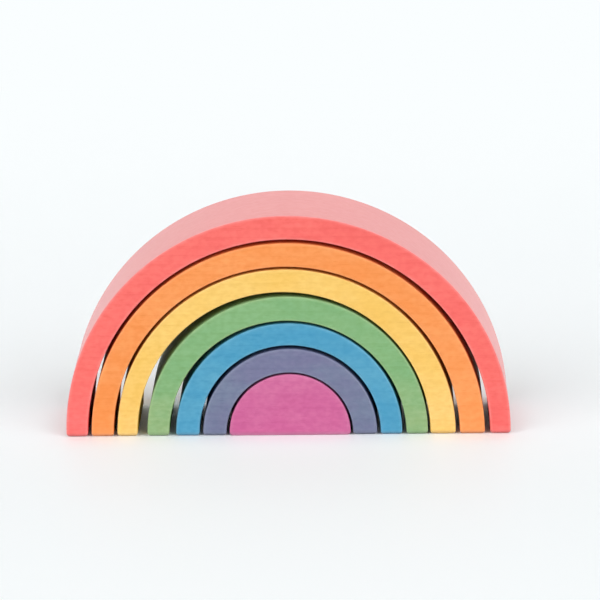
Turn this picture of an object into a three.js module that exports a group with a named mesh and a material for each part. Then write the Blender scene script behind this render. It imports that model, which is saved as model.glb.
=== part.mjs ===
// A wooden rainbow stacker: six arches nested round a half-round block, seven loose pieces in all.
// Millimetres. +X runs along the width, +Y from the front faces to the back faces, +Z is up.
// The origin lies on the surface that the set stands on, under the middle of the outer arch.

import * as THREE from "three";

// Sizes that all the pieces share.
const DEPTH = 40; // from front face to back face
const EDGE_ROUND = 0.7; // radius of the sanded edges round the front and back faces
const FOOT_EASE = 0.6; // the corners of the feet are rounder than the other edges by this much
const FOOT_ROUND = EDGE_ROUND + FOOT_EASE;

// The half-round block in the middle.
const CORE_RADIUS = 21.8;

// Wall of each arch at its sides, sawn by hand to its own thickness.
const INDIGO_WALL = 8.5;
const BLUE_WALL = 8.1;
const GREEN_WALL = 7.8;
const YELLOW_WALL = 8.2;
const ORANGE_WALL = 8.5;
const RED_WALL = 7.6;

// Clearance at the sides between each arch and the piece inside it, when that piece is centred.
const INDIGO_GAP = 1.0;
const BLUE_GAP = 1.3;
const GREEN_GAP = 2.0;
const YELLOW_GAP = 2.2;
const ORANGE_GAP = 1.4;
const RED_GAP = 1.6;

// Height of the centre of each piece's outside above its soles.
const PINK_RISE = 0.9;
const INDIGO_RISE = 0.8;
const BLUE_RISE = 0.9;
const GREEN_RISE = 1.0;
const YELLOW_RISE = 0.6;
const ORANGE_RISE = 0.3;
const RED_RISE = 1.2;

// How far the centre of a bore lies below the centre of its arch's outside: the crown is thicker by this.
const INDIGO_BORE_DROP = 0.2;
const GREEN_BORE_DROP = 1.1;
const YELLOW_BORE_DROP = 0.1;
const ORANGE_BORE_DROP = 0.1;
const RED_BORE_DROP = 1.1;

// How far the centre of each bore lies to the right of the centre of its arch's outside.
const INDIGO_BORE_SHIFT = -0.1;
const BLUE_BORE_SHIFT = 0.35;
const GREEN_BORE_SHIFT = 0.1;
const YELLOW_BORE_SHIFT = -0.9;
const ORANGE_BORE_SHIFT = -0.5;
const RED_BORE_SHIFT = 0.2;

// Facets of the outlines and of the rounded edges.
const ARC_STEPS = 36;
const FOOT_STEPS = 3;
const EDGE_STEPS = 3;

// The pieces from the middle outwards.
// lean: where a piece stands in the arch around it, as a share of that arch's gap, to the right.
const PIECES = [
  {
    name: "pink_half_round",
    colour: 0xd46ea0,
    lean: 0.1,
    rise: PINK_RISE,
  },
  {
    name: "indigo_arch",
    colour: 0x7a83a2,
    lean: 0.0,
    gap: INDIGO_GAP,
    wall: INDIGO_WALL,
    rise: INDIGO_RISE,
    boreDrop: INDIGO_BORE_DROP,
    boreShift: INDIGO_BORE_SHIFT,
  },
  {
    name: "blue_arch",
    colour: 0x58a6c8,
    lean: 0.23,
    gap: BLUE_GAP,
    wall: BLUE_WALL,
    rise: BLUE_RISE,
    boreDrop: 0,
    boreShift: BLUE_BORE_SHIFT,
  },
  {
    name: "green_arch",
    colour: 0x8ab882,
    lean: 0.6,
    gap: GREEN_GAP,
    wall: GREEN_WALL,
    rise: GREEN_RISE,
    boreDrop: GREEN_BORE_DROP,
    boreShift: GREEN_BORE_SHIFT,
  },
  {
    name: "yellow_arch",
    colour: 0xf9cd70,
    lean: -0.06,
    gap: YELLOW_GAP,
    wall: YELLOW_WALL,
    rise: YELLOW_RISE,
    boreDrop: YELLOW_BORE_DROP,
    boreShift: YELLOW_BORE_SHIFT,
  },
  {
    name: "orange_arch",
    colour: 0xfd9e5c,
    lean: -0.19,
    gap: ORANGE_GAP,
    wall: ORANGE_WALL,
    rise: ORANGE_RISE,
    boreDrop: ORANGE_BORE_DROP,
    boreShift: ORANGE_BORE_SHIFT,
  },
  {
    name: "red_arch",
    colour: 0xfd716c,
    lean: 0.0,
    gap: RED_GAP,
    wall: RED_WALL,
    rise: RED_RISE,
    boreDrop: RED_BORE_DROP,
    boreShift: RED_BORE_SHIFT,
  },
];

// Stained wood with a thin matt oil finish.
const WOOD_ROUGHNESS = 0.55;
const WOOD_METALNESS = 0.0;

// Points of a circular arc in the plane of the front face, ends included.
function arc(x, z, radius, from, to, steps) {
  const clockwise = to < from;
  return new THREE.EllipseCurve(x, z, radius, radius, from, to, clockwise).getPoints(steps);
}

// Angle at which a half circle runs into the rounded corners of its feet.
// rise is the height of the half circle's centre, and reach is how far the centre of a corner lies from it.
function springAngle(rise, reach) {
  return Math.asin(Math.max(FOOT_ROUND - rise, 0) / reach);
}

// The outside of a piece, from the sole of its right foot over the crown to the sole of its left foot.
function outsideLine(radius, rise) {
  const reach = radius - FOOT_ROUND;
  const spring = springAngle(rise, reach);
  const cornerX = reach * Math.cos(spring);
  return [
    ...arc(cornerX, FOOT_ROUND, FOOT_ROUND, -Math.PI / 2, spring, FOOT_STEPS),
    ...arc(0, rise, radius, spring, Math.PI - spring, ARC_STEPS),
    ...arc(-cornerX, FOOT_ROUND, FOOT_ROUND, Math.PI - spring, 1.5 * Math.PI, FOOT_STEPS),
  ];
}

// The bore of an arch, from the sole of its left foot under the crown to the sole of its right foot.
function boreLine(radius, shift, rise) {
  const reach = radius + FOOT_ROUND;
  const spring = springAngle(rise, reach);
  const cornerX = reach * Math.cos(spring);
  return [
    ...arc(shift - cornerX, FOOT_ROUND, FOOT_ROUND, -Math.PI / 2, -spring, FOOT_STEPS),
    ...arc(shift, rise, radius, Math.PI - spring, spring, ARC_STEPS),
    ...arc(shift + cornerX, FOOT_ROUND, FOOT_ROUND, Math.PI + spring, 1.5 * Math.PI, FOOT_STEPS),
  ];
}

// A closed outline without the doubled points where one arc runs into the next.
function outline(points) {
  const MERGE = 1e-4;
  return new THREE.Shape(
    points.filter((point, i) => point.distanceTo(points.at(i - 1)) > MERGE),
  );
}

// A piece of the plank with this outline, its front and back edges rounded over.
function sawnFromPlank(shape) {
  return new THREE.ExtrudeGeometry(shape, {
    depth: DEPTH - 2 * EDGE_ROUND,
    bevelThickness: EDGE_ROUND,
    bevelSize: EDGE_ROUND,
    bevelOffset: -EDGE_ROUND,
    bevelSegments: EDGE_STEPS,
  });
}

// Radii from the middle outwards: each bore clears the piece inside it.
function withRadii(pieces) {
  let outside = 0;
  return pieces.map((piece) => {
    const bore = piece.gap === undefined ? 0 : outside + piece.gap;
    outside = bore === 0 ? CORE_RADIUS : bore + piece.wall;
    return { ...piece, bore, outside };
  });
}

// Sideways places from the outer arch inwards: each piece leans in the bore around it.
function withPlaces(pieces) {
  let boreX = 0;
  let play = 0;
  return pieces
    .toReversed()
    .map((piece) => {
      const x = boreX + piece.lean * play;
      boreX = x + (piece.boreShift ?? 0);
      play = piece.gap;
      return { ...piece, x };
    })
    .toReversed();
}

// One piece as a named mesh, turned so that it stands on its feet.
function pieceMesh({ name, colour, outside, rise, bore, boreShift, boreDrop, x }) {
  const boreOutline = bore === 0 ? [] : boreLine(bore, boreShift, rise - boreDrop);
  const shape = outline([...outsideLine(outside, rise), ...boreOutline]);
  const material = new THREE.MeshStandardMaterial({
    color: colour,
    roughness: WOOD_ROUGHNESS,
    metalness: WOOD_METALNESS,
  });
  const mesh = new THREE.Mesh(sawnFromPlank(shape), material);
  mesh.name = name;
  mesh.rotation.x = Math.PI / 2;
  mesh.position.set(x, DEPTH / 2 - EDGE_ROUND, 0);
  return mesh;
}

const rainbow = new THREE.Group();
rainbow.name = "rainbow_stacker";
rainbow.add(...withPlaces(withRadii(PIECES)).map(pieceMesh));

export default rainbow;
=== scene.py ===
"""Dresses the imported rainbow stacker: stained wooden arches nested over a half-round block.

All the pieces are sawn from one plank whose grain runs along X. Their edges are sanded round and each
is stained in one colour. Metres, +Z up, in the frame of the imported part.
"""

import logging
import math
from abc import ABC, abstractmethod
from dataclasses import dataclass, field
from enum import Enum
from typing import ClassVar

import bpy
import numpy as np
from mathutils import Matrix, Vector


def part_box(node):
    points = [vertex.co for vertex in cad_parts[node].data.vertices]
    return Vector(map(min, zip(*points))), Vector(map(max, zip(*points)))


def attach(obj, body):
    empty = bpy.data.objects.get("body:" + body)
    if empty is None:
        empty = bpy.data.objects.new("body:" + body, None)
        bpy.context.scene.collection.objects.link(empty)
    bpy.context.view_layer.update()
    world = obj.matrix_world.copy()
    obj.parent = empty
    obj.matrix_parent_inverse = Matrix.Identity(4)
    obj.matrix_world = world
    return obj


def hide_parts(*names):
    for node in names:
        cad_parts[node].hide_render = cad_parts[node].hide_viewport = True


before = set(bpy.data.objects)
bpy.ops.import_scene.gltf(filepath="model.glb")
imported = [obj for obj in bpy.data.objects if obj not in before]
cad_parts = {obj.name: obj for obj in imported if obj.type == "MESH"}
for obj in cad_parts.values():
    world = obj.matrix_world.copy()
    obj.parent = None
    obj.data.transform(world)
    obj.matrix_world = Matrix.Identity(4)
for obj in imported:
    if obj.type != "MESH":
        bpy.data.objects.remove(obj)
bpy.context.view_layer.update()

MM = 0.001
LOG = logging.getLogger("rainbow_stacker")

# What a node's input takes: another node's socket, a number, or the numbers of a colour or a vector.
Feed = bpy.types.NodeSocket | float | tuple[float, ...]

# Shape of the sanded pieces.
EDGE_ROUND = 0.4 * MM  # radius of the edges round the faces
FOOT_ROUND = 1.3 * MM  # radius of the corners of the feet
SOLE_RIM = 0.5 * MM  # width of the flat rim round a sole, inside its round edge
WALL_MARGIN = 0.01 * MM  # how near the end of the CAD's straight walls their corners lie

# Hand sanding makes the radius of an arch's edges come and go in two waves.
EDGE_WANDER = 0.12  # share of the radius
LONG_WAVES = 3  # waves to a full turn
SHORT_WAVES = 5  # waves to a full turn
WAVE_LAG = 2.0  # how far the long wave shifts from the plank's middle to a face, in radians
EDGE_FADE = 0.35 * MM  # over what distance the pale edge colour, sanded wear and painted highlight, fades from an edge

# Points of the surfaces.
CORNER_STEPS = 7  # over a round edge
FACE_STEPS = 15  # across the face of an arch
WALL_STEPS = 17  # through the plank, and along the block's sole
ARC_STEPS = 180  # along a half circle
FOOT_STEPS = 8  # over a foot's round corner
SWEEP_STEPS = 24  # up the sweep of the studio's floor


def linear(colour: str) -> tuple[float, float, float, float]:
    """Turns a colour as seen on a screen into the linear colour that a shader takes.

    A screen's curve is s / 12.92 for a dark level s, and ((s + 0.055) / 1.055) to the power 2.4 above.

    Args:
        colour: Six hexadecimal digits after a hash sign.

    Returns:
        Red, green, blue and an alpha of one.
    """
    seen = np.array([int(colour[i : i + 2], 16) for i in (1, 3, 5)]) / 255
    lit = np.where(seen <= 0.04045, seen / 12.92, ((seen + 0.055) / 1.055) ** 2.4)
    return (*lit.tolist(), 1.0)


@dataclass(frozen=True)
class Stain:
    """One stain and how the wood takes it up.

    Attributes:
        slot: The record's material slot.
        face: Colour of the sanded faces.
        foot: Colour of the faces near the feet.
        soaked: Colour where the wood drinks more stain.
        grain: Colour of the dark late wood and of the pores.
        wear_and_highlight: Colour of the edges, where sanding thins the stain.
        shift: How far the plank's pattern is moved along X for this piece, in metres.
        rub_and_sheen: Share of the pale edge colour on the round outside: wear from hands, and on the red
            arch mostly painted sheen where its crown meets the light at a grazing angle.
    """

    slot: str
    face: str
    foot: str
    # grain: Colour of the dark late wood and of the pores, and of the painted shade on the bore walls.
    soaked: str
    grain: str
    # worn: Colour of the edges, where sanding thins the stain, in the tone of their lit rims as painted
    # highlight; also the pale colour of the round outside, partly painted sheen.
    wear_and_highlight: str
    shift: float
    rub_and_sheen: float = 0.1


class Colour(Enum):
    """The stains of the set, from the outer arch to the block in the middle."""

    RED = Stain(
        slot="red_wood",
        face="#fa7871",
        foot="#fb7b78",
        soaked="#f36a66",
        grain="#e34741",
        wear_and_highlight="#fcabaa",
        shift=0.0,
        # Painted sheen: the red arch's round outside is painted pale where its crown meets the light at a
        # grazing angle.
        rub_and_sheen=0.75,
    )
    ORANGE = Stain(
        slot="orange_wood",
        face="#faa262",
        foot="#fba363",
        soaked="#f4914b",
        grain="#e0701d",
        wear_and_highlight="#f4b37f",
        shift=0.31,
    )
    YELLOW = Stain(
        slot="yellow_wood",
        face="#f9cf77",
        foot="#fdd383",
        soaked="#f5c461",
        grain="#dca436",
        wear_and_highlight="#f7d692",
        shift=0.62,
    )
    GREEN = Stain(
        slot="green_wood",
        face="#89b782",
        foot="#a1ba88",
        soaked="#7caf7a",
        grain="#659149",
        wear_and_highlight="#b2c695",
        shift=0.93,
    )
    BLUE = Stain(
        slot="blue_wood",
        face="#5ea7c5",
        foot="#5da6c6",
        soaked="#4799bf",
        grain="#1d7aa6",
        wear_and_highlight="#84bdd2",
        shift=1.24,
    )
    INDIGO = Stain(
        slot="indigo_wood",
        face="#7d87a0",
        foot="#79869d",
        soaked="#7a7498",
        grain="#4f5a7a",
        wear_and_highlight="#979db1",
        shift=1.55,
    )
    PINK = Stain(
        slot="pink_wood",
        face="#d679a3",
        foot="#d677a3",
        soaked="#cc6296",
        grain="#b23b7a",
        wear_and_highlight="#dd8bb2",
        shift=1.86,
    )


class NodeTree:
    """A short way to place nodes in a tree and link their sockets.

    Attributes:
        UNDER: Number of a Mix node's socket for the colour below, whose name other sockets share.
        OVER: Number of its socket for the colour on top.
        MIXED: Number of its socket with the mixed colour.
    """

    UNDER: ClassVar[int] = 6
    OVER: ClassVar[int] = 7
    MIXED: ClassVar[int] = 2

    def __init__(self, tree: bpy.types.NodeTree) -> None:
        """Keeps the tree that the nodes go into."""
        self.tree = tree

    @classmethod
    def emptied(cls, owner: bpy.types.Material | bpy.types.World) -> "NodeTree":
        """Clears the node tree of a material or a world.

        Args:
            owner: The material or the world.

        Returns:
            Its tree, with no nodes in it.
        """
        owner.use_nodes = True
        owner.node_tree.nodes.clear()
        return cls(owner.node_tree)

    def add(
        self, kind: str, inputs: dict[str | int, Feed] | None = None, **settings: object
    ) -> bpy.types.Node:
        """Adds one node.

        Args:
            kind: Blender's name for the type of node.
            inputs: Values or sockets for the node's inputs, by name or number.
            **settings: Properties of the node itself.

        Returns:
            The new node.
        """
        node = self.tree.nodes.new(kind)
        for name, value in settings.items():
            setattr(node, name, value)
        for key, value in (inputs or {}).items():
            if isinstance(value, bpy.types.NodeSocket):
                self.tree.links.new(value, node.inputs[key])
            else:
                node.inputs[key].default_value = value
        return node

    def axes(self, vector: bpy.types.NodeSocket) -> tuple[bpy.types.NodeSocket, ...]:
        """Adds a Separate XYZ node and returns its x, y and z."""
        return tuple(self.add("ShaderNodeSeparateXYZ", {0: vector}).outputs)

    def attribute(self, name: str) -> bpy.types.NodeSocket:
        """Adds an Attribute node and returns the number that the piece's points hold under the name."""
        return self.add("ShaderNodeAttribute", attribute_name=name).outputs["Fac"]

    def math(self, operation: str, *values: Feed, clamp: bool = False) -> bpy.types.NodeSocket:
        """Adds a Math node on values or sockets and returns its result."""
        node = self.add("ShaderNodeMath", dict(enumerate(values)), operation=operation, use_clamp=clamp)
        return node.outputs[0]

    def mix(self, factor: Feed, under: Feed, over: Feed) -> bpy.types.NodeSocket:
        """Adds a colour Mix node, with over covering under by factor, and returns its result."""
        node = self.add("ShaderNodeMix", {0: factor, self.UNDER: under, self.OVER: over}, data_type="RGBA")
        return node.outputs[self.MIXED]

    def span(self, value: Feed, low: Feed, high: Feed, to_low: Feed, to_high: Feed) -> bpy.types.NodeSocket:
        """Adds a smooth Map Range node, which holds its ends outside the span.

        Args:
            value: What is mapped.
            low: Value at the span's start.
            high: Value at the span's end.
            to_low: Result at the span's start.
            to_high: Result at the span's end.

        Returns:
            The node's result.
        """
        node = self.add(
            "ShaderNodeMapRange",
            {"Value": value, "From Min": low, "From Max": high, "To Min": to_low, "To Max": to_high},
            interpolation_type="SMOOTHSTEP",
        )
        return node.outputs[0]

    def seen(self) -> bpy.types.NodeSocket:
        """Adds a Light Path node.

        Returns:
            One for rays from the camera and in reflections, and zero for those that carry light.
        """
        ray = self.add("ShaderNodeLightPath").outputs
        mirrored = self.math("MAXIMUM", ray["Is Glossy Ray"], ray["Is Transmission Ray"])
        return self.math("MAXIMUM", ray["Is Camera Ray"], mirrored)


class EffectGroup(ABC):
    """A shader node group that several materials share, built once.

    Attributes:
        name: The group's name.
        inputs: Type of socket of each input, under its name.
        outputs: Names of the outputs, which are all numbers.
    """

    name: ClassVar[str]
    inputs: ClassVar[dict[str, str]]
    outputs: ClassVar[tuple[str, ...]]

    def group(self) -> bpy.types.NodeTree:
        """Finds the node group, or makes it on the first call.

        Returns:
            The group's tree.
        """
        made = bpy.data.node_groups.get(self.name)
        if made:
            return made
        tree = bpy.data.node_groups.new(self.name, "ShaderNodeTree")
        for name, kind in self.inputs.items():
            tree.interface.new_socket(name, in_out="INPUT", socket_type=kind)
        for name in self.outputs:
            tree.interface.new_socket(name, in_out="OUTPUT", socket_type="NodeSocketFloat")
        nodes = NodeTree(tree)
        results = self.wire(nodes, nodes.add("NodeGroupInput"))
        nodes.add("NodeGroupOutput", dict(zip(self.outputs, results)))
        return tree

    @abstractmethod
    def wire(self, nodes: NodeTree, source: bpy.types.Node) -> tuple[bpy.types.NodeSocket, ...]:
        """Adds the group's own nodes.

        Args:
            nodes: The group's tree.
            source: The node that holds the group's inputs.

        Returns:
            One socket for each output.
        """

    def place(self, nodes: NodeTree, inputs: dict[str | int, Feed]) -> bpy.types.Node:
        """Places the group in a material and returns its node."""
        return nodes.add("ShaderNodeGroup", inputs, node_tree=self.group())


@dataclass(frozen=True)
class Streaks:
    """Noise drawn out along X, as the marks of the wood are.

    Attributes:
        along: Streaks to the metre along X.
        across: Streaks to the metre across X.
        detail: Finer layers of the noise.
        low: Noise at which a streak starts to show.
        high: Noise at which a streak shows in full.
    """

    along: float
    across: float
    detail: float
    low: float = 0.3
    high: float = 0.7

    def noise(self, nodes: NodeTree, place: bpy.types.NodeSocket) -> bpy.types.NodeSocket:
        """Adds the noise.

        Args:
            nodes: The tree that the nodes go into.
            place: Socket with the place on the piece.

        Returns:
            The noise's value.
        """
        scale = (self.along, self.across, self.across)
        scaled = nodes.add("ShaderNodeMapping", {"Vector": place, "Scale": scale}).outputs[0]
        noise = nodes.add("ShaderNodeTexNoise", {"Vector": scaled, "Scale": 1.0, "Detail": self.detail})
        return noise.outputs[0]

    def mask(self, nodes: NodeTree, place: bpy.types.NodeSocket) -> bpy.types.NodeSocket:
        """Adds the noise and returns how much of a streak there is at the place, from 0 to 1."""
        return nodes.span(self.noise(nodes, place), self.low, self.high, 0.0, 1.0)


@dataclass(frozen=True)
class PlankGrain(EffectGroup):
    """Growth rings, fibres, pores and sanded nap of a plank sawn along X.

    Attributes:
        pith_y: Place of the tree's middle behind the plank, in metres.
        pith_z: Place of the tree's middle below the plank, in metres.
        ring: Width of one year's ring, in metres.
        wander: How far a ring strays from its circle, in metres.
        late_wood: Power that keeps the dark late wood at the end of a year.
        ring_end: Share of a year after which its late wood breaks off.
        stray: Noise that makes the rings stray.
        fibre: Streaks of the fibres.
        pore: Short streaks of the pores.
        nap: Fine marks of the sanding.
        fibres_up: How far the fibres stand out of the surface.
        rings_up: How far the late wood stands out of the surface.
        pores_down: How far the pores lie below the surface.
    """

    pith_y: float = 0.075
    pith_z: float = -0.045
    ring: float = 2.6 * MM
    wander: float = 3.0 * MM
    late_wood: float = 3.0
    ring_end: float = 0.94
    stray: Streaks = Streaks(along=6.0, across=22.0, detail=2.0)
    fibre: Streaks = Streaks(along=45.0, across=1100.0, detail=3.0)
    pore: Streaks = Streaks(along=210.0, across=2600.0, detail=1.0, low=0.62, high=0.74)
    nap: Streaks = Streaks(along=400.0, across=650.0, detail=2.0)
    fibres_up: float = 0.5
    rings_up: float = 0.4
    pores_down: float = 0.8
    name: ClassVar[str] = "plank_grain"
    inputs: ClassVar[dict[str, str]] = {"Vector": "NodeSocketVector"}
    outputs: ClassVar[tuple[str, ...]] = ("Rings", "Fibres", "Pores", "Nap", "Height")

    def wire(self, nodes: NodeTree, source: bpy.types.Node) -> tuple[bpy.types.NodeSocket, ...]:
        """Adds the grain. A ring is the fraction of the distance from the pith over the ring's width.

        Args:
            nodes: The group's tree.
            source: The node that holds the place on the piece.

        Returns:
            The rings, the fibres, the pores, the nap and the height of the raised grain.
        """
        place = source.outputs["Vector"]
        _, y, z = nodes.axes(place)
        from_y = nodes.math("SUBTRACT", y, self.pith_y)
        from_z = nodes.math("SUBTRACT", z, self.pith_z)
        square = nodes.math("ADD", nodes.math("POWER", from_y, 2.0), nodes.math("POWER", from_z, 2.0))
        stray = nodes.math("MULTIPLY", self.stray.noise(nodes, place), self.wander)
        radius = nodes.math("ADD", nodes.math("SQRT", square), stray)
        year = nodes.math("FRACT", nodes.math("DIVIDE", radius, self.ring))
        late = nodes.math("POWER", year, self.late_wood)
        rings = nodes.math("MULTIPLY", late, nodes.span(year, self.ring_end, 1.0, 1.0, 0.0))
        fibres = self.fibre.mask(nodes, place)
        pores = self.pore.mask(nodes, place)
        nap = self.nap.mask(nodes, place)
        height = nodes.math("MULTIPLY", rings, self.rings_up)
        height = nodes.math("MULTIPLY_ADD", fibres, self.fibres_up, height)
        height = nodes.math("MULTIPLY_ADD", pores, -self.pores_down, height)
        return rings, fibres, pores, nap, height


@dataclass(frozen=True)
class StainSoak(EffectGroup):
    """Cloudy patches where the wood takes up more or less stain.

    Attributes:
        patches: Patches to the metre.
        drawn_out: Patches along the grain for each one across it.
        detail: Finer layers of the clouds.
        roughness: Strength of the finer layers.
        low: Noise at which a patch starts to show.
        high: Noise at which a patch shows in full.
    """

    patches: float = 70.0
    drawn_out: float = 0.55
    detail: float = 5.0
    roughness: float = 0.62
    low: float = 0.35
    high: float = 0.68
    name: ClassVar[str] = "stain_soak"
    inputs: ClassVar[dict[str, str]] = {"Vector": "NodeSocketVector"}
    outputs: ClassVar[tuple[str, ...]] = ("Soak",)

    def wire(self, nodes: NodeTree, source: bpy.types.Node) -> tuple[bpy.types.NodeSocket, ...]:
        """Adds cloudy noise, drawn out a little along the grain.

        Args:
            nodes: The group's tree.
            source: The node that holds the place on the piece.

        Returns:
            How much the wood is soaked.
        """
        scale = (self.drawn_out, 1.0, 1.0)
        place = nodes.add("ShaderNodeMapping", {"Vector": source.outputs["Vector"], "Scale": scale})
        cloud = nodes.add(
            "ShaderNodeTexNoise",
            {
                "Vector": place.outputs[0],
                "Scale": self.patches,
                "Detail": self.detail,
                "Roughness": self.roughness,
            },
        )
        return (nodes.span(cloud.outputs[0], self.low, self.high, 0.0, 1.0),)


@dataclass(frozen=True)
class SandedEdgeAndHighlight(EffectGroup):
    """Paler, uneven edges where sanding thins the stain, their pale colour also a painted highlight on the
    rims.

    Attributes:
        marks: Sanding marks to the metre.
        detail: Finer layers of the marks.
        low: Noise at which an edge is paled least.
        high: Noise at which an edge is paled in full.
        least: The least wear of an edge, where 1 is full.
    """

    marks: float = 260.0
    detail: float = 2.0
    low: float = 0.25
    high: float = 0.75
    least: float = 0.45
    name: ClassVar[str] = "sanded_edge_and_highlight"
    inputs: ClassVar[dict[str, str]] = {"Vector": "NodeSocketVector", "Edge": "NodeSocketFloat"}
    outputs: ClassVar[tuple[str, ...]] = ("WearAndHighlight",)

    def wire(self, nodes: NodeTree, source: bpy.types.Node) -> tuple[bpy.types.NodeSocket, ...]:
        """Adds the edge's strength times noise.

        Args:
            nodes: The group's tree.
            source: The node that holds the place on the piece and how much of an edge it is.

        Returns:
            How pale the edge is, from sanded wear and painted highlight.
        """
        place = source.outputs["Vector"]
        noise = nodes.add("ShaderNodeTexNoise", {"Vector": place, "Scale": self.marks, "Detail": self.detail})
        uneven = nodes.span(noise.outputs[0], self.low, self.high, self.least, 1.0)
        return (nodes.math("MULTIPLY", source.outputs["Edge"], uneven, clamp=True),)


@dataclass(frozen=True)
class StainedWood:
    """The finish of one piece: stained, sanded and oiled wood.

    Attributes:
        stain: The colours.
        soak: Share of the soaked colour in the cloudy patches.
        rings: Share of the grain colour in the late wood.
        fibres: Share of the grain colour between the fibres.
        nap: Share of the grain colour in the fine nap.
        pores: Share of the grain colour in the pores.
        end_grain: Share of the soaked colour where the plank's end shows.
        bore: Share of the grain colour in a bore, painted shade on the inside walls, which lie in the dark
            gaps between the nested pieces.
        wear_and_highlight: Share of the pale edge colour on the edges, sanded wear and painted highlight.
        hidden: How much of the grain is lost where the stain is thinned.
        foot_span: Heights between which the foot's colour gives way to the face's, in metres.
        painted_foot_shade: Share of the grey along the soles, painted shade where the feet meet the floor.
        painted_foot_shade_span: Heights between which that painted shade fades, in metres.
        painted_foot_shade_colour: Colour of the painted shade along the soles.
        relief: Depth of the raised grain, in metres.
        relief_strength: Strength of the raised grain.
        hollow: Height of the grain in its hollows, as the grain group gives it.
        ridge: Height of the grain on its ridges, as the grain group gives it.
        hollow_roughness: Roughness in the hollows.
        ridge_roughness: Roughness on the ridges.
        oil: Strength of the bare wood's reflections.
        wax: Strength of the polish that rubbing leaves, which pales the wood at a grazing angle.
        wax_roughness: Roughness of the polish.
        wax_index: Refractive index of the polish.
    """

    stain: Stain
    soak: float = 0.7
    rings: float = 0.14
    fibres: float = 0.05
    nap: float = 0.22
    pores: float = 0.2
    end_grain: float = 0.75
    bore: float = 0.7
    wear_and_highlight: float = 0.35
    # hidden: How much of the grain is lost under the pale colour of the edges and of the round outside.
    hidden: float = 0.8
    foot_span: tuple[float, float] = (2 * MM, 26 * MM)
    # Painted shade along the soles, where the feet meet the floor.
    painted_foot_shade: float = 0.34
    painted_foot_shade_span: tuple[float, float] = (0.2 * MM, 1.9 * MM)
    painted_foot_shade_colour: str = "#7d7b7c"
    relief: float = 0.02 * MM
    relief_strength: float = 0.6
    hollow: float = -0.4
    ridge: float = 0.9
    hollow_roughness: float = 0.66
    ridge_roughness: float = 0.58
    oil: float = 0.2
    wax: float = 0.6
    wax_roughness: float = 0.18
    wax_index: float = 1.5

    def soaked(
        self, nodes: NodeTree, height: bpy.types.NodeSocket, soak: bpy.types.NodeSocket
    ) -> bpy.types.NodeSocket:
        """Adds the colour of the stain as the wood has drunk it, before sanding.

        Args:
            nodes: The material's tree.
            height: Height over the soles.
            soak: How much the wood is soaked.

        Returns:
            The colour.
        """
        stain = self.stain
        low = nodes.span(height, *self.foot_span, 1.0, 0.0)
        end = nodes.math("MULTIPLY", nodes.attribute("end_grain"), self.end_grain)
        # Painted shade: the bore walls, in the gaps between nested pieces, are darkened towards the grain
        # colour.
        bore = nodes.math("MULTIPLY", nodes.attribute("bore"), self.bore)
        colour = nodes.mix(low, linear(stain.face), linear(stain.foot))
        colour = nodes.mix(nodes.math("MULTIPLY", soak, self.soak), colour, linear(stain.soaked))
        colour = nodes.mix(end, colour, linear(stain.soaked))
        return nodes.mix(bore, colour, linear(stain.grain))

    def marks(self, nodes: NodeTree, grain: bpy.types.Node) -> bpy.types.NodeSocket:
        """Adds up the marks of the grain.

        Args:
            nodes: The material's tree.
            grain: The grain group's node.

        Returns:
            The share of the grain colour.
        """
        marks = nodes.math("MULTIPLY", grain.outputs["Rings"], self.rings)
        marks = nodes.math("MULTIPLY_ADD", grain.outputs["Fibres"], self.fibres, marks)
        marks = nodes.math("MULTIPLY_ADD", grain.outputs["Pores"], self.pores, marks)
        return nodes.math("MULTIPLY_ADD", grain.outputs["Nap"], self.nap, marks)

    def material(self) -> bpy.types.Material:
        """Makes the material.

        Returns:
            A node material on the piece's Object coordinates and its own attributes edge, end_grain, bore
            and outside.
        """
        made = bpy.data.materials.new("stained_" + self.stain.slot)
        nodes = NodeTree.emptied(made)
        where = nodes.add("ShaderNodeTexCoord").outputs["Object"]
        shift = (self.stain.shift, 0.0, 0.0)
        place = nodes.add("ShaderNodeMapping", {"Vector": where, "Location": shift}).outputs[0]
        grain = PlankGrain().place(nodes, {"Vector": place})
        soak = StainSoak().place(nodes, {"Vector": place}).outputs["Soak"]
        edge = nodes.attribute("edge")
        # Pale edges: sanded wear, in the tone of the lit rims as painted highlight.
        wear_and_highlight = SandedEdgeAndHighlight().place(nodes, {"Vector": place, "Edge": edge}).outputs["WearAndHighlight"]
        # The round outside is painted pale: wear from hands, and on the red arch mostly painted sheen.
        rub_and_sheen = nodes.math("MULTIPLY", nodes.attribute("outside"), self.stain.rub_and_sheen)
        pale_wear_and_sheen = nodes.math("MAXIMUM", nodes.math("MULTIPLY", wear_and_highlight, self.wear_and_highlight), rub_and_sheen)
        kept = nodes.math("SUBTRACT", 1.0, nodes.math("MULTIPLY", pale_wear_and_sheen, self.hidden))
        marks = nodes.math("MULTIPLY", self.marks(nodes, grain), kept)
        height = nodes.axes(where)[2]
        # Painted shade: the bottom of each piece is darkened towards grey, where the feet meet the floor.
        painted_foot_shade = nodes.span(height, *self.painted_foot_shade_span, self.painted_foot_shade, 0.0)

        colour = self.soaked(nodes, height, soak)
        colour = nodes.mix(pale_wear_and_sheen, colour, linear(self.stain.wear_and_highlight))
        colour = nodes.mix(marks, colour, linear(self.stain.grain))
        colour = nodes.mix(painted_foot_shade, colour, linear(self.painted_foot_shade_colour))

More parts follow.
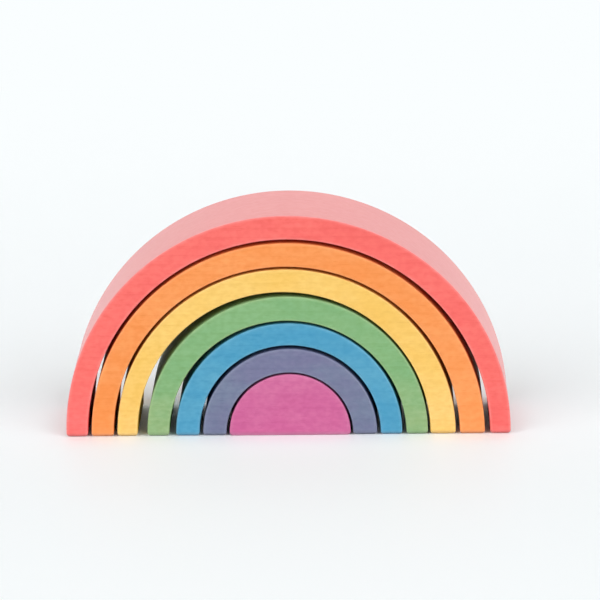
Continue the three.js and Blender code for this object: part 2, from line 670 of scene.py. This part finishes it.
        raised = grain.outputs["Height"]
        rough = nodes.span(raised, self.hollow, self.ridge, self.hollow_roughness, self.ridge_roughness)
        bump = nodes.add(
            "ShaderNodeBump", {"Height": raised, "Strength": self.relief_strength, "Distance": self.relief}
        )
        shader = nodes.add(
            "ShaderNodeBsdfPrincipled",
            {
                "Base Color": colour,
                "Roughness": rough,
                "Normal": bump.outputs[0],
                "Specular IOR Level": self.oil,
                "Coat Weight": nodes.math("MULTIPLY", rub_and_sheen, self.wax),
                "Coat Roughness": self.wax_roughness,
                "Coat IOR": self.wax_index,
            },
        )
        nodes.add("ShaderNodeOutputMaterial", {"Surface": shader.outputs[0]})
        return made


@dataclass(frozen=True)
class Circle:
    """A circle in the plane of the front faces.

    Attributes:
        x: Place of its centre along X.
        z: Height of its centre.
        radius: Its radius.
    """

    x: float
    z: float
    radius: float

    @classmethod
    def through(cls, points: np.ndarray) -> "Circle":
        """Fits a circle by least squares, from x*x + z*z = 2*a*x + 2*b*z + c.

        Args:
            points: One x and z for each row.

        Returns:
            The circle with centre (a, b) and radius sqrt(c + a*a + b*b).
        """
        sides = np.column_stack([2 * points, np.ones(len(points))])
        a, b, c = np.linalg.lstsq(sides, (points**2).sum(axis=1), rcond=None)[0]
        return cls(a, b, math.sqrt(c + a * a + b * b))


def node_points(node: str) -> np.ndarray:
    """Reads the corners of a CAD node.

    Args:
        node: The node's name.

    Returns:
        One row of x, y and z for each corner.
    """
    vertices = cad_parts[node].data.vertices
    flat = np.empty(len(vertices) * 3)
    vertices.foreach_get("co", flat)
    return flat.reshape(-1, 3)


def in_scene(name: str, data: bpy.types.ID) -> bpy.types.Object:
    """Makes an object of a mesh, a lamp or a camera and puts it in the scene.

    Args:
        name: Name of the object.
        data: The mesh, the lamp or the camera.

    Returns:
        The object, at the origin and unturned.
    """
    made = bpy.data.objects.new(name, data)
    bpy.context.scene.collection.objects.link(made)
    return made


def closed_tube(name: str, rings: np.ndarray, weights: dict[str, np.ndarray]) -> bpy.types.Mesh:
    """Joins rings of points into one closed surface.

    Point (i, j) is joined to its neighbours (i + 1, j) and (i, j + 1), with j running round the ring,
    and each end ring is closed by a fan of triangles to its own middle. The weight end_grain is the
    square of the normal's x.

    Args:
        name: Name of the mesh.
        rings: Points by ring, place on the ring and axis.
        weights: Numbers for each point, by ring and place on the ring, under the name they get.

    Returns:
        The mesh, with the weights and an end_grain weight as attributes of its points.
    """
    count, columns, _ = rings.shape
    points = np.concatenate([rings.reshape(-1, 3), rings[[0, -1]].mean(axis=1)])
    here = np.arange(count * columns).reshape(count, columns)
    beside = np.roll(here, -1, axis=1)
    quads = np.stack([here[:-1], beside[:-1], beside[1:], here[1:]], axis=-1).reshape(-1, 4)
    middle = np.full(columns, count * columns)
    first_fan = np.column_stack([middle, beside[0], here[0]])
    last_fan = np.column_stack([middle + 1, here[-1], beside[-1]])
    mesh = bpy.data.meshes.new(name)
    mesh.from_pydata(points, [], quads.tolist() + first_fan.tolist() + last_fan.tolist())
    mesh.shade_smooth()
    normals = np.empty(len(points) * 3, dtype=np.float32)
    mesh.vertex_normals.foreach_get("vector", normals)
    end_grain = normals.reshape(-1, 3)[:, 0] ** 2
    filled = {key: np.append(values.ravel(), [0.0, 0.0]) for key, values in weights.items()}
    for key, values in {**filled, "end_grain": end_grain}.items():
        mesh.attributes.new(key, "FLOAT", "POINT").data.foreach_set("value", values.astype(np.float32))
    return mesh


def quarter(steps: int) -> np.ndarray:
    """Returns angles that divide a quarter turn evenly, both ends included."""
    return np.linspace(0, math.pi / 2, steps)


def eased(steps: int) -> np.ndarray:
    """Returns numbers from 0 to 1 that lie closer together at both ends: half of 1 minus a cosine."""
    return (1 - np.cos(np.linspace(0, math.pi, steps))) / 2


@dataclass
class SawnPiece(ABC):
    """One loose piece of the set, sawn from the plank and sanded.

    Attributes:
        node: The CAD node that the piece stands for, and the body that it rides on.
        colour: The piece's stain.
        outside: Circle of the piece's outside.
        half_depth: Half the plank's thickness.
    """

    node: str
    colour: Colour
    outside: Circle = field(init=False)
    half_depth: float = field(init=False)

    def __post_init__(self) -> None:
        """Takes the sizes from the CAD node's box."""
        low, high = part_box(self.node)
        radius = (high.x - low.x) / 2
        self.outside = Circle((low.x + high.x) / 2, high.z - radius, radius)
        self.half_depth = (high.y - low.y) / 2

    @abstractmethod
    def surface(self) -> tuple[np.ndarray, dict[str, np.ndarray]]:
        """Works out the piece's surface.

        Returns:
            The rings of points, and how much each belongs to a sanded edge, a bore and a round outside.
        """

    def build(self) -> bpy.types.Object:
        """Makes the piece's object from its surface and sets it in place of the CAD node.

        Returns:
            The object.
        """
        rings, weights = self.surface()
        name = "sanded_" + self.node
        piece = in_scene(name, closed_tube(name, rings, weights))
        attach(piece, self.node)
        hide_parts(self.node)
        return piece

    def dress(self, piece: bpy.types.Object) -> None:
        """Gives the piece its stained finish."""
        piece.data.materials.append(StainedWood(self.colour.value).material())


@dataclass
class Arch(SawnPiece):
    """An arch: a rounded rectangle carried over a half circle, from the right foot to the left.

    Attributes:
        bore: Circle of the arch's inside.
    """

    bore: Circle = field(init=False)

    def __post_init__(self) -> None:
        """Finds the bore among the CAD's corners that lie well inside the outside and above the feet."""
        super().__post_init__()
        clear = 2 * FOOT_ROUND
        corners = node_points(self.node)
        x, y, z = corners.T
        inside = np.hypot(x - self.outside.x, z - self.outside.z) < self.outside.radius - clear
        wall = np.abs(y) < np.abs(y).min() + WALL_MARGIN
        self.bore = Circle.through(corners[inside & wall & (z > clear)][:, [0, 2]])

    def section(self) -> tuple[np.ndarray, np.ndarray, np.ndarray, np.ndarray]:
        """Goes once round the arch's section, a rectangle with round corners.

        The way leads over the front face, the outside, the back face and the bore, with a quarter circle
        between each two.

        Returns:
            For each point: its share of the way from the bore to the outside, how far the round corner
            carries it outwards, its place on the flat part of the depth, and how far the round corner
            carries it along the depth. The second and fourth are in units of the corner's radius.
        """
        turn = quarter(CORNER_STEPS)
        sine, cosine = np.sin(turn), np.cos(turn)
        face = eased(FACE_STEPS)[1:-1]
        wall = 2 * eased(WALL_STEPS)[1:-1] - 1
        corner = np.ones(CORNER_STEPS)
        level = np.zeros(FACE_STEPS - 2)
        upright = np.ones(WALL_STEPS - 2)
        outer = [face, corner, upright, corner]
        inner = [1 - face, 0 * corner, 0 * upright, 0 * corner]
        across = np.concatenate(outer + inner)
        outwards = np.concatenate([level, sine, upright, cosine, level, -sine, -upright, -cosine])
        depth = np.concatenate([level - 1, -corner, wall, corner, level + 1, corner, -wall, -corner])
        along = np.concatenate([level - 1, -cosine, 0 * wall, sine, level + 1, cosine, 0 * wall, -sine])
        return across, outwards, depth, along

    def surface(self) -> tuple[np.ndarray, dict[str, np.ndarray]]:
        """Carries the section along the arch.

        At turn t the outside is its centre plus its radius times n, with n = (cos t, sin t), and the bore
        likewise. The section stands between the two. Over a foot's round edge, at angle q, the section
        draws in by f(1 - cos q) while it comes down to f(1 - sin q) above the floor. An edge's weight is
        the bell curve of the distance from its corner.

        Returns:
            The rings of points, and how much each belongs to a sanded edge, a bore and a round outside.
        """
        across, outwards, depth, along = self.section()
        centre_x = (1 - across) * self.bore.x + across * self.outside.x
        centre_z = (1 - across) * self.bore.z + across * self.outside.z
        radius = (1 - across) * self.bore.radius + across * self.outside.radius
        spring = np.arcsin((FOOT_ROUND - centre_z) / radius)
        way = np.linspace(0, 1, ARC_STEPS)[:, None]
        arc = spring + (math.pi - 2 * spring) * way
        round_foot = quarter(FOOT_STEPS)[1:]
        foot_inset = np.append(FOOT_ROUND * (1 - np.cos(round_foot)), FOOT_ROUND + SOLE_RIM)
        foot_base = np.append(FOOT_ROUND * (1 - np.sin(round_foot)), 0.0)
        foot = np.zeros((len(foot_base), len(across)))
        turn = np.concatenate([foot, arc, foot + math.pi])
        inset = np.concatenate([foot_inset[::-1], np.zeros(ARC_STEPS), foot_inset])[:, None]
        base = np.concatenate([foot + foot_base[::-1, None], centre_z + 0 * arc, foot + foot_base[:, None]])

        short_wave = np.sin(SHORT_WAVES * turn + self.outside.radius / MM)
        long_wave = np.sin(LONG_WAVES * turn + WAVE_LAG * depth)
        corner = EDGE_ROUND * (1 + EDGE_WANDER * short_wave * long_wave)
        gap = inset + corner
        reach = radius + (1 - 2 * across) * gap + outwards * corner
        x = centre_x + reach * np.cos(turn)
        y = depth * (self.half_depth - gap) + along * corner
        z = base + reach * np.sin(turn)

        from_corner = np.where(
            np.abs(outwards) == 1,
            (1 - np.abs(depth)) * self.half_depth,
            np.minimum(across, 1 - across) * (self.outside.radius - self.bore.radius),
        )
        rows = {
            "edge": np.exp(-((from_corner / EDGE_FADE) ** 2)),
            "bore": np.clip(-outwards, 0, 1),
            "outside": np.clip(outwards, 0, 1),
        }
        weights = {key: np.broadcast_to(row, z.shape) for key, row in rows.items()}
        return np.stack([x, y, z], axis=-1), weights


@dataclass
class HalfRound(SawnPiece):
    """The half-round block: its outline carried through the plank, from the front face to the back."""

    def outline(self, inset: np.ndarray) -> tuple[np.ndarray, np.ndarray]:
        """Draws the block's outline, moved inwards.

        The outline is a half circle of radius R - i over a flat sole at height i, with corners of radius
        f - i, for an inset i.

        Args:
            inset: How far each ring lies inside the block's outline, as a column.

        Returns:
            The x and z of the points, by ring and place on the outline.
        """
        reach_in = self.outside.radius - FOOT_ROUND
        spring = math.asin((FOOT_ROUND - self.outside.z) / reach_in)
        corner_x = reach_in * math.cos(spring)
        arc = np.linspace(spring, math.pi - spring, ARC_STEPS)
        right = np.linspace(-math.pi / 2, spring, FOOT_STEPS)[:-1]
        left = math.pi - right[::-1]
        sole = corner_x * (2 * eased(WALL_STEPS)[1:-1] - 1)
        reach = self.outside.radius - inset
        corner = FOOT_ROUND - inset
        x = [
            corner_x + corner * np.cos(right),
            reach * np.cos(arc),
            -corner_x + corner * np.cos(left),
            sole + 0 * inset,
        ]
        z = [
            FOOT_ROUND + corner * np.sin(right),
            self.outside.z + reach * np.sin(arc),
            FOOT_ROUND + corner * np.sin(left),
            0 * sole + inset,
        ]
        return self.outside.x + np.concatenate(x, axis=1), np.concatenate(z, axis=1)

    def surface(self) -> tuple[np.ndarray, dict[str, np.ndarray]]:
        """Carries the outline through the plank.

        Over the round edge of a face, at angle q, the outline draws in by r(1 - cos q) while it comes
        forward to r sin q past the straight wall. On a face it shrinks to the face's middle. An edge's
        weight is the bell curve of the distance from its corner.

        Returns:
            The rings of points, and how much each belongs to a sanded edge, a bore and a round outside.
        """
        turn = quarter(CORNER_STEPS)
        shrink = eased(2 * FACE_STEPS)[1:-1]
        wall = 2 * eased(WALL_STEPS) - 1
        flat = np.ones(len(shrink))
        inset = EDGE_ROUND * np.concatenate([flat, 1 - np.sin(turn), 0 * wall, 1 - np.cos(turn), flat])
        reach = self.half_depth - EDGE_ROUND
        front = -reach - EDGE_ROUND * np.cos(turn)
        back = reach + EDGE_ROUND * np.sin(turn)
        y = np.concatenate([-self.half_depth * flat, front, reach * wall, back, self.half_depth * flat])
        full = np.ones(len(turn) + len(wall) + len(turn))
        scale = np.concatenate([shrink, full, shrink[::-1]])[:, None]
        x, z = self.outline(inset[:, None])
        middle_z = self.outside.radius / 2
        x = self.outside.x + scale * (x - self.outside.x)
        z = middle_z + scale * (z - middle_z)
        rings = np.stack([x, np.broadcast_to(y[:, None], x.shape), z], axis=-1)

        from_wall = np.concatenate([0 * flat, 0 * turn, reach * (1 - np.abs(wall)), 0 * turn, 0 * flat])
        from_face = (1 - scale[:, 0]) * middle_z
        off_edge = np.broadcast_to(np.maximum(from_wall, from_face)[:, None], x.shape)
        edge = np.exp(-((off_edge / EDGE_FADE) ** 2))
        lean = np.concatenate([0 * flat, np.sin(turn), 0 * wall + 1, np.cos(turn), 0 * flat])[:, None]
        return rings, {"edge": edge, "bore": 0 * edge, "outside": lean * (z > FOOT_ROUND)}


@dataclass(frozen=True)
class Softbox:
    """A broad lamp far off, which lights all of the set alike.

    Attributes:
        name: Name of the lamp.
        turn: How far it stands to the right of the front, in degrees.
        height: Its height over the floor, in degrees.
        spread: Its width as seen from the set, in degrees.
        level: Its brightness on a white surface that faces it, where 1 is white.
        distance: How far off it is drawn, which changes nothing in its light.
    """

    name: str
    turn: float
    height: float
    spread: float
    level: float
    distance: float = 2.0

    def build(self) -> None:
        """Makes the lamp. A strength of pi lights a facing white surface to 1."""
        lamp = bpy.data.lights.new(self.name, "SUN")
        lamp.energy = math.pi * self.level
        lamp.angle = math.radians(self.spread)
        turn, height = math.radians(self.turn), math.radians(self.height)
        level = math.cos(height)
        aim = Vector((-math.sin(turn) * level, math.cos(turn) * level, -math.sin(height)))
        box = in_scene(self.name, lamp)
        box.location = -self.distance * aim
        box.rotation_euler = aim.to_track_quat("-Z", "Y").to_euler()


@dataclass
class Studio:
    """A pale floor that sweeps up behind the set, two softboxes and a white surround.

    Attributes:
        floor: Colour of the floor and the backdrop.
        floor_roughness: Roughness of the floor.
        floor_index: Refractive index of the floor.
        white: Colour of the far backdrop and of what the set reflects.
        width: Width of the floor.
        front: How far the floor runs towards the camera.
        back: Where the floor starts to sweep up.
        sweep: Radius of the sweep.
        top: Height of the backdrop.
        plot: Half the width and half the depth of the floor that the set covers.
        shade: Over what distance from the plot the floor brightens out of the set's shade.
        shade_front: Share of the shade that stays at that distance, beside the set's front.
        shade_back: Share of the shade that stays at that distance, behind the set.
        shade_end: How far behind the origin the second share is reached.
        fade: Over what distance from the plot the floor turns to the backdrop's white.
        behind: How a distance behind the plot counts against one beside or before it.
        front_light: Brightness of the surround before the set, as light on it.
        back_light: Brightness of the surround behind the set, as light on it.
        light_span: Directions between which one gives way to the other, as the Y of a line of length 1.
        softboxes: The lamps.
    """

    floor: str = "#fafcfd"
    floor_roughness: float = 0.5
    floor_index: float = 1.5
    white: str = "#fafeff"
    width: float = 8.0
    front: float = -4.0
    back: float = 1.6
    sweep: float = 0.6
    top: float = 3.0
    plot: tuple[float, float] = (77 * MM, 20 * MM)
    shade: float = 16 * MM
    shade_front: float = 0.55
    shade_back: float = 0.85
    shade_end: float = 60 * MM
    fade: float = 350 * MM
    behind: float = 0.6
    front_light: float = 0.5
    back_light: float = 0.12
    light_span: tuple[float, float] = (-0.7, 0.5)
    softboxes: tuple[Softbox, ...] = (
        Softbox("left_softbox", turn=-50.0, height=38.0, spread=45.0, level=0.39),
        Softbox("right_softbox", turn=50.0, height=38.0, spread=45.0, level=0.42),
    )

    def build(self) -> None:
        """Makes the floor, the surround and the lamps."""
        self.build_floor()
        self.build_surround()
        for softbox in self.softboxes:
            softbox.build()

    def build_floor(self) -> None:
        """Makes the floor: a line that sweeps up through a quarter circle, carried along X."""
        turn = quarter(SWEEP_STEPS)
        y = np.concatenate([[self.front], self.back + self.sweep * np.sin(turn), [self.back + self.sweep]])
        z = np.concatenate([[0.0], self.sweep * (1 - np.cos(turn)), [self.top]])
        x = np.repeat([-self.width / 2, self.width / 2], len(y))
        points = np.column_stack([x, np.tile(y, 2), np.tile(z, 2)])
        here = np.arange(len(y) - 1)
        quads = np.column_stack([here, here + len(y), here + len(y) + 1, here + 1])
        mesh = bpy.data.meshes.new("studio_floor")
        mesh.from_pydata(points, [], quads.tolist())
        mesh.shade_smooth()
        mesh.materials.append(self.floor_material())
        in_scene("studio_floor", mesh)

    def floor_material(self) -> bpy.types.Material:
        """Makes the floor's finish: pale and matt near the set, white far behind it and in reflections.

        Returns:
            The material.
        """
        made = bpy.data.materials.new("pale_floor")
        nodes = NodeTree.emptied(made)
        x, y, _ = nodes.axes(nodes.add("ShaderNodeTexCoord").outputs["Object"])
        half_width, half_depth = self.plot
        beside = nodes.math("SUBTRACT", nodes.math("ABSOLUTE", x), half_width)
        before = nodes.math("SUBTRACT", nodes.math("MULTIPLY", y, -1.0), half_depth)
        behind = nodes.math("MULTIPLY", nodes.math("SUBTRACT", y, half_depth), self.behind)
        away = nodes.math("MAXIMUM", beside, nodes.math("MAXIMUM", before, behind))
        least = nodes.span(y, -half_depth, self.shade_end, self.shade_front, self.shade_back)
        near = nodes.span(away, 0.0, self.shade, 1.0, least)
        far = nodes.span(away, 0.0, self.fade, 1.0, 0.0)
        glowing = nodes.math("SUBTRACT", 1.0, nodes.math("MULTIPLY", near, far))
        white = nodes.math("MULTIPLY", nodes.seen(), glowing)
        matt = nodes.add(
            "ShaderNodeBsdfPrincipled",
            {"Base Color": linear(self.floor), "Roughness": self.floor_roughness, "IOR": self.floor_index},
        )
        glow = nodes.add("ShaderNodeEmission", {"Color": linear(self.white), "Strength": 1.0})
        mixed = nodes.add("ShaderNodeMixShader", {0: white, 1: matt.outputs[0], 2: glow.outputs[0]})
        nodes.add("ShaderNodeOutputMaterial", {"Surface": mixed.outputs[0]})
        return made

    def build_surround(self) -> None:
        """Makes the world: white to the camera and in reflections, and dimmer as light on the set."""
        world = bpy.data.worlds.new("white_surround")
        bpy.context.scene.world = world
        nodes = NodeTree.emptied(world)
        _, towards_back, _ = nodes.axes(nodes.add("ShaderNodeTexCoord").outputs["Generated"])
        lit = nodes.span(towards_back, *self.light_span, self.front_light, self.back_light)
        strength = nodes.math("MAXIMUM", nodes.seen(), lit)
        light = nodes.add("ShaderNodeBackground", {"Color": linear(self.white), "Strength": strength})
        nodes.add("ShaderNodeOutputWorld", {"Surface": light.outputs[0]})


@dataclass
class PhotoCamera:
    """The camera, at the photograph's angle.

    Attributes:
        azimuth: Turn of the view about Z, in degrees.
        elevation: Height of the camera above the floor, in degrees.
        roll: Turn of the picture about the view, in degrees.
        distance: From the camera to the plane of the set.
        right: How far the picture's middle lies to the right of the origin.
        up: How far the picture's middle lies above the origin.
        focal: Focal length in picture widths.
        sensor: Width of the sensor, in millimetres as Blender's lenses are.
        sight: How far the camera sees.
    """

    azimuth: float = -1.12
    elevation: float = 14.78
    roll: float = -0.79
    distance: float = 1395 * MM
    right: float = 3.85 * MM
    up: float = 43.6 * MM
    focal: float = 6.37
    sensor: float = 36.0
    sight: float = 50.0

    def build(self) -> None:
        """Makes the camera and puts it in the scene."""
        turn, tilt, roll = (math.radians(v) for v in (self.azimuth, self.elevation, self.roll))
        ahead = Vector((math.sin(turn) * math.cos(tilt), math.cos(turn) * math.cos(tilt), -math.sin(tilt)))
        level = Vector((math.cos(turn), -math.sin(turn), 0))
        over = level.cross(ahead)
        right = math.cos(roll) * level + math.sin(roll) * over
        up = math.cos(roll) * over - math.sin(roll) * level
        place = self.right * right + self.up * up - self.distance * ahead
        lens = bpy.data.cameras.new("photo_camera")
        lens.sensor_width = self.sensor
        lens.lens = self.sensor * self.focal
        lens.clip_end = self.sight
        camera = in_scene("photo_camera", lens)
        camera.matrix_world = Matrix.Translation(place) @ Matrix((right, up, -ahead)).transposed().to_4x4()
        bpy.context.scene.camera = camera


def main() -> None:
    """Builds the pieces, the studio and the camera."""
    logging.basicConfig(level=logging.INFO, format="%(name)s: %(message)s")
    bpy.context.scene.view_settings.view_transform = "Standard"
    PhotoCamera().build()
    pieces: list[SawnPiece] = [
        Arch("red_arch", Colour.RED),
        Arch("orange_arch", Colour.ORANGE),
        Arch("yellow_arch", Colour.YELLOW),
        Arch("green_arch", Colour.GREEN),
        Arch("blue_arch", Colour.BLUE),
        Arch("indigo_arch", Colour.INDIGO),
        HalfRound("pink_half_round", Colour.PINK),
    ]
    for sawn in pieces:
        piece = sawn.build()
        sawn.dress(piece)
        LOG.info("%s: %d faces", piece.name, len(piece.data.polygons))
    Studio().build()


if __name__ == "__main__":
    main()
